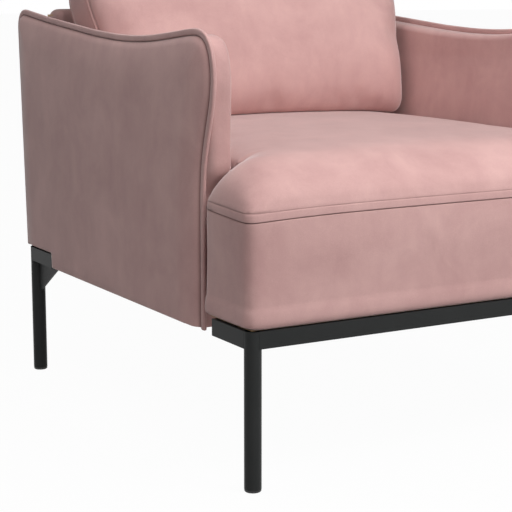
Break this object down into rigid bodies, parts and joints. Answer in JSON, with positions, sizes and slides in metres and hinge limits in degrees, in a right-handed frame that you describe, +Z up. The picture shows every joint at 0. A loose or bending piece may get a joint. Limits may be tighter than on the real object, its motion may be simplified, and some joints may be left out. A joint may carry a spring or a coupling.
{
  "type": "upholstered lounge armchair",
  "caption": "Low armchair with a deep upholstered seat, flat upholstered arms, a low back and a loose back cushion, on a welded tube base.",
  "frame": {"origin": "on the floor, under the middle of the overall width and depth", "axes": "+Z up, the chair faces -Y, and +X is to the right as seen from the front"},
  "size_m": [0.742, 0.875, 0.8395],
  "materials": {
    "black_steel": "satin",
    "black_plastic": "matte",
    "plated_steel": "satin",
    "beech": "matte",
    "plywood": "matte",
    "webbing": "matte",
    "black_cloth": "matte",
    "foam": "matte",
    "fibre_fill": "matte",
    "pink_velvet": "matte",
    "zip_tape": "matte"
  },
  "bodies": {
    "chair": {"leg_front_left": "black_steel", "leg_front_right": "black_steel", "leg_rear_left": "black_steel", "leg_rear_right": "black_steel", "front_rail": "black_steel", "rear_rail": "black_steel", "return_front_left": "black_steel", "return_front_right": "black_steel", "return_rear_left": "black_steel", "return_rear_right": "black_steel", "gusset_left": "black_steel", "gusset_right": "black_steel", "mounting_tabs": "black_steel", "foot_glides": "black_plastic", "return_end_plugs": "black_plastic", "base_screws": "plated_steel", "arm_screws": "plated_steel", "seat_front_board": "beech", "seat_rear_board": "beech", "seat_side_board_left": "beech", "seat_side_board_right": "beech", "ear_board_left": "beech", "ear_board_right": "beech", "arm_batten_left": "beech", "arm_batten_right": "beech", "back_stile_left": "beech", "back_stile_right": "beech", "back_top_rail": "beech", "back_lower_rail": "beech", "arm_board_left": "plywood", "arm_board_right": "plywood", "seat_webbing_long": "webbing", "seat_webbing_cross": "webbing", "back_webbing": "webbing", "dust_cover": "black_cloth", "seat_foam": "foam", "back_foam": "foam", "seat_cover": "pink_velvet", "arm_inner_pad_left": "pink_velvet", "arm_inner_pad_right": "pink_velvet", "arm_outer_pad_left": "pink_velvet", "arm_outer_pad_right": "pink_velvet", "arm_welt_left": "pink_velvet", "arm_welt_right": "pink_velvet", "back_cover": "pink_velvet", "back_panel": "pink_velvet"},
    "back_cushion": {"back_cushion_cover": "pink_velvet", "back_cushion_fill": "fibre_fill", "back_cushion_zip": "zip_tape"}
  },
  "joints": [
    {"name": "cushion_lift", "type": "slide", "parent": "chair", "child": "back_cushion", "axis": [0, 0, 1], "range_m": [0, 0.25]}
  ]
}
